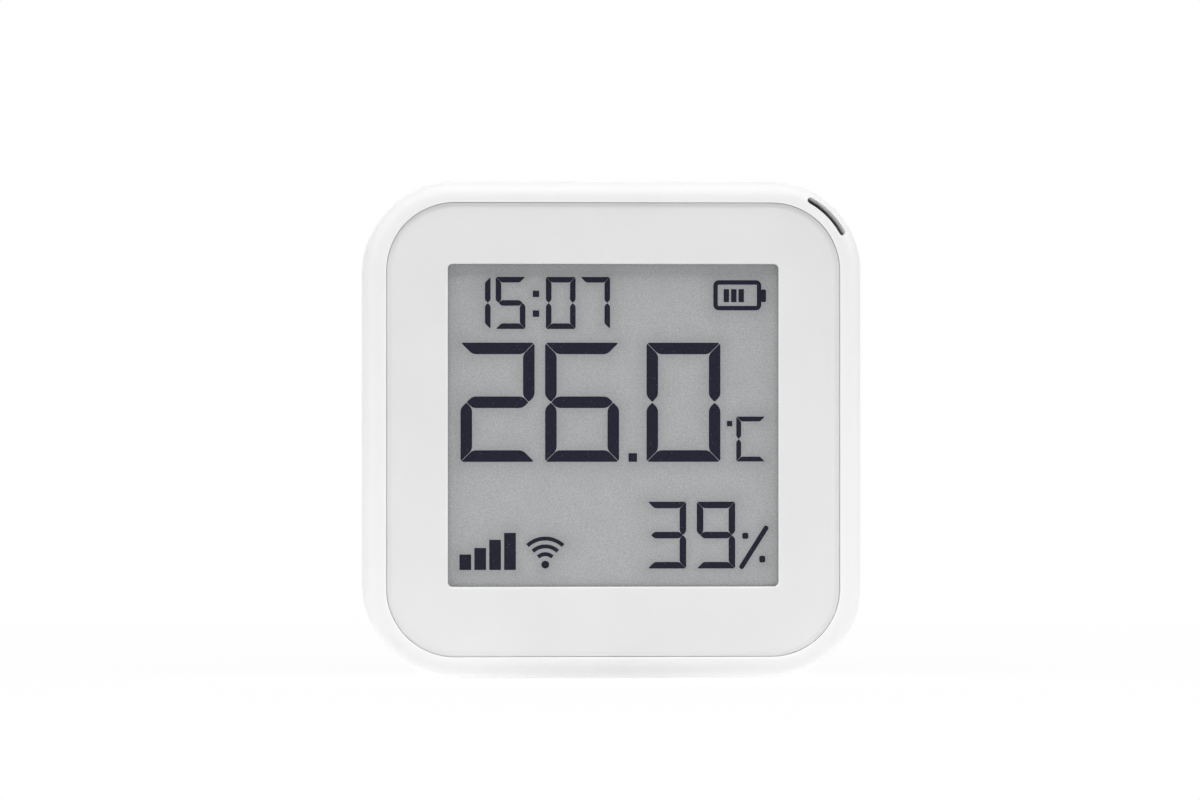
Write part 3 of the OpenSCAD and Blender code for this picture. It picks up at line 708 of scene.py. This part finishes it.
battery = dict(x=14.16, y=51.81, width=6.77, height=4.24, radius=0.75, line=0.62)
nub = dict(x=20.88, y=52.96, width=0.72, height=1.8, radius=0.25)
bar = dict(y=52.96, width=0.77, height=1.83, radius=0.05)
bar_left, bar_step, bar_count = 15.61, 1.05, 3
frame_halves = [half_frame(**battery, side=side) for side in (-1, 1)]
battery_bars = [plate(x=bar_left + bar_step * k, **bar) for k in range(bar_count)]
inlay("battery_mark", frame_halves + [plate(**nub)] + battery_bars, ink)

# %% [markdown]
# Four rising bars tell the strength of reception, and a plain fan of waves stands for radio. A wave
# is a band between two arcs, drawn as one outline that goes out along one arc and back along the
# other, so that the same inlay helper can use it.

# %% Reception and radio marks
reception_left, reception_step = -21.63, 2.095
reception_bar = dict(y=15.26, width=1.65, radius=0.05)
reception_heights = (2.18, 3.09, 4.24, 5.21)
wave_foot = (-9.55, 16.0)
wave_radii = (1.2, 2.3, 3.4)
wave_band = 0.55
wave_start, wave_end = 47, 133
dot_bore, dot_end, dot_steps = 0.02, 359, 24


def arc_band(x, y, inner, outer, start, end, steps=14):
    """Outline of a band between two radii, from one angle to another, in degrees."""
    angles = [math.radians(start + (end - start) * k / steps) for k in range(steps + 1)]
    rim = [Vector((x + outer * math.cos(a), y + outer * math.sin(a))) for a in angles]
    bore = [Vector((x + inner * math.cos(a), y + inner * math.sin(a))) for a in reversed(angles)]
    return rim + bore


reception = [
    plate(x=reception_left + reception_step * k, height=height, **reception_bar)
    for k, height in enumerate(reception_heights)
]
inlay("reception_bars", reception, ink)
waves = [arc_band(*wave_foot, r, r + wave_band, wave_start, wave_end) for r in wave_radii]
wave_dot = arc_band(*wave_foot, dot_bore, wave_band, 0, dot_end, dot_steps)
inlay("radio_waves", waves + [wave_dot], ink)

# %% [markdown]
# E-paper is a sheet of pale and dark capsules under a matt layer. Fine grain, a slow cloud and a few
# dark capsules give it its papery look, and the matt layer reflects little. Light that is swallowed
# by the ink leaves a soft darker edge beside each stroke, so the finish reads how near the next
# stroke is from a value stored in the mesh, and mixes in a darker grey there.

# %% Finish of the film
pale_paper, paler_paper = srgb(185, 186, 187), srgb(190, 191, 192)
paper_grain = srgb(156, 157, 158)
paper_grain_size, paper_grain_depth = 0.17 * mm, 0.003 * mm
paper_cloud_size = 3 * mm
dark_capsule, dark_cover = srgb(120, 120, 122), 0.35
dark_spacing, dark_reach = 0.9 * mm, 0.05
stroke_shade, shade_share = srgb(128, 128, 130), 0.42


def paper_finish():
    finish = Finish("grey_paper", {"IOR": 1.45, "Specular IOR Level": 0.3})
    nearby = finish.add("ShaderNodeAttribute", attribute_name="ink_nearby").outputs["Fac"]
    grains = finish.noise(paper_grain_size, 2, roughness=0.6)
    cloud = finish.noise(paper_cloud_size, 3)
    paper = finish.mix(finish.spread(cloud, 0, 1), pale_paper, paler_paper)
    grained = finish.mix(finish.spread(grains, 0, 1), paper, paper_grain)
    dark = finish.math("MULTIPLY", finish.specks(dark_spacing, dark_reach), dark_cover)
    dotted = finish.mix(dark, grained, dark_capsule)
    colour = finish.mix(finish.math("MULTIPLY", nearby, shade_share), dotted, stroke_shade)
    roughness = finish.spread(grains, 0.5, 0.68)
    return finish.wear(colour, roughness, finish.bump(grains, paper_grain_depth, 0.4))


paper = paper_finish()
print("film finish:", paper.name)

# %% [markdown]
# The film itself is a thin sheet whose front is a grid of points. Each point stores how near the
# next stroke is, which a search tree of the outline points answers quickly. A plain box has only
# its corners and could not carry such a value.

# %% The film as a grid
grid_step = 0.4 * mm
shade_reach = 1.2 * mm
columns = round(film_size.x / grid_step)
rows = round(film_size.z / grid_step)
strokes = KDTree(len(outline_points))
for i, p in enumerate(outline_points):
    strokes.insert((p.x * mm, 0, p.y * mm), i)
strokes.balance()


def film_sheet():
    """The film as a thin closed sheet with a fine grid in front."""
    mesh = bmesh.new()
    shade = mesh.verts.layers.float.new("ink_nearby")
    across = [film_low.x + film_size.x * c / columns for c in range(columns + 1)]
    upward = [film_low.z + film_size.z * r / rows for r in range(rows + 1)]
    front = [[mesh.verts.new((x, film_front, z)) for x in across] for z in upward]
    for r in range(rows):
        for c in range(columns):
            mesh.faces.new((front[r][c], front[r][c + 1], front[r + 1][c + 1], front[r + 1][c]))
    bottom, top = front[0], front[-1]
    left, right = [row[0] for row in front], [row[-1] for row in front]
    rim = bottom[:-1] + right[:-1] + top[:0:-1] + left[:0:-1]
    rear = [mesh.verts.new((v.co.x, film_high.y, v.co.z)) for v in rim]
    for i in range(len(rim)):
        mesh.faces.new((rim[i - 1], rear[i - 1], rear[i], rim[i]))
    mesh.faces.new(reversed(rear))
    for v in mesh.verts:
        distance = strokes.find((v.co.x, 0, v.co.z))[2]
        v[shade] = math.exp(-distance / shade_reach)
    return mesh


film = make_object("paper_film", film_sheet(), paper)
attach(film, "case")
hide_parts("display_film")
print("film grid:", columns, "by", rows)

# %% [markdown]
# Small goods are often photographed on a lit table: a white sheet that shines a little from below
# and so keeps the underside from going dark. The floor here mixes such a glow with its own matt
# surface, which keeps the shadow. For the camera and for mirror-like rays the glow takes over with
# distance. For the light that it sends to the sensor, it is weaker right under it and far away.

# %% Floor
floor_reach = 3.0
speckle_size, speckle_depth = 3 * mm, 0.01 * mm
table_glow = 0.92
under_light, near_light, far_light = 0.95, 1.16, 0.55
under_zone = (13 * mm, 28 * mm)
far_zone = (60 * mm, 300 * mm)


def floor_finish():
    finish = Finish("floor_white", {"Roughness": 0.9, "Base Color": grey(252)})
    speckle = finish.noise(speckle_size, 3)
    finish.wear(normal=finish.bump(speckle, speckle_depth, 0.2))
    seen = finish.seen_rays()
    reach = finish.vector_math("LENGTH", finish.place)["Value"]
    near = finish.remap(reach, *under_zone, 0, 1)
    far = finish.remap(reach, *far_zone, 0, 1)
    share = finish.remap(finish.math("MULTIPLY", seen, far), 0, 1, table_glow, 1.0)
    beyond = finish.remap(far, 0, 1, near_light, far_light)
    strength = finish.remap(seen, 0, 1, finish.remap(near, 0, 1, under_light, beyond), 1.0)
    glow = finish.add("ShaderNodeEmission", {"Color": (1, 1, 1, 1), "Strength": strength}).outputs[0]
    layers = {0: share, 1: finish.shader.outputs[0], 2: glow}
    both = finish.add("ShaderNodeMixShader", layers).outputs[0]
    finish.feed(finish.tree.nodes["Material Output"].inputs["Surface"], both)
    return finish.material


floor_mesh = bmesh.new()
bmesh.ops.create_grid(floor_mesh, x_segments=8, y_segments=8, size=floor_reach)
floor = make_object("floor", floor_mesh, floor_finish())
floor.location.z = body_low.z
print("floor at", round(body_low.z / mm, 3), "mm")

# %% [markdown]
# Behind everything is a plain white surround. The camera, mirrors and glass see it as white, while
# the light that it sends to the sensor is much weaker, so that the lamps do most of the work.

# %% Surround
sky_light = 0.22
world = bpy.data.worlds.new("white_surround")
bpy.context.scene.world = world
world.use_nodes = True
surround = Graph(world.node_tree)
background = world.node_tree.nodes["Background"]
surround.feed(background.inputs["Color"], (1, 1, 1, 1))
surround.feed(background.inputs["Strength"], surround.remap(surround.seen_rays(), 0, 1, sky_light, 1.0))
print("sky light:", sky_light)

# %% [markdown]
# The photograph was lit by a broad soft lamp above, and white board all round sent light back. A
# large lamp overhead and a weaker one on each side do the same, and one more behind lights the
# back. Their size keeps the shadows soft, and their power keeps the white plastic just below white.

# %% Lamps
# Place in metres, width and height in metres, and power in watts
lamps = {
    "lamp_above": ((0, -0.32, 0.7), (0.9, 0.45), 3.85),
    "lamp_left": ((-0.75, -0.27, 0.25), (0.5, 0.7), 1.85),
    "lamp_right": ((0.75, -0.27, 0.25), (0.5, 0.7), 1.85),
    "lamp_behind": ((0, 0.8, 0.36), (0.9, 0.3), 0.9),
}


def soft_lamp(name, place, size, power):
    """A broad lamp that points at the middle of the body."""
    light = bpy.data.lights.new(name, "AREA")
    light.shape = "RECTANGLE"
    light.size, light.size_y = size
    light.energy = power
    lamp = bpy.data.objects.new(name, light)
    lamp.location = place
    lamp.rotation_mode = "QUATERNION"
    lamp.rotation_quaternion = (body_middle - Vector(place)).to_track_quat("-Z", "Y")
    bpy.context.scene.collection.objects.link(lamp)


for name, look in lamps.items():
    soft_lamp(name, *look)
print("lamps:", list(lamps))

# %% [markdown]
# The camera stands almost straight in front, a touch to the left, with a long lens. The sensor
# sits a little right of the picture's middle and below it, so the camera aims past it by that much.
# The width of the view is a real size, and the lens follows from it and from the distance.

# %% Camera
view_width = 169.1 * mm
view_depth = 2.4 * mm
camera_distance = 0.95
camera_azimuth = math.radians(-3.0)
aim_right, aim_up = -1.8 * mm, 4.17 * mm
optics = bpy.data.cameras.new("camera")
optics.sensor_width = 36.0
optics.lens = optics.sensor_width * camera_distance / view_width
optics.clip_start, optics.clip_end = 0.01, 20
camera = bpy.data.objects.new("camera", optics)
back = Vector((math.sin(camera_azimuth), -math.cos(camera_azimuth), 0))
right = Vector((math.cos(camera_azimuth), math.sin(camera_azimuth), 0))
front_middle = Vector((0, body_low.y + view_depth, body_middle.z))
aim = front_middle + right * aim_right + Vector((0, 0, aim_up))
camera.location = aim + back * camera_distance
camera.rotation_mode = "QUATERNION"
camera.rotation_quaternion = (-back).to_track_quat("-Z", "Y")
bpy.context.scene.collection.objects.link(camera)
bpy.context.scene.camera = camera
bpy.context.scene.view_settings.view_transform = "Standard"
print("lens in mm:", round(optics.lens, 1))

# %% [markdown]
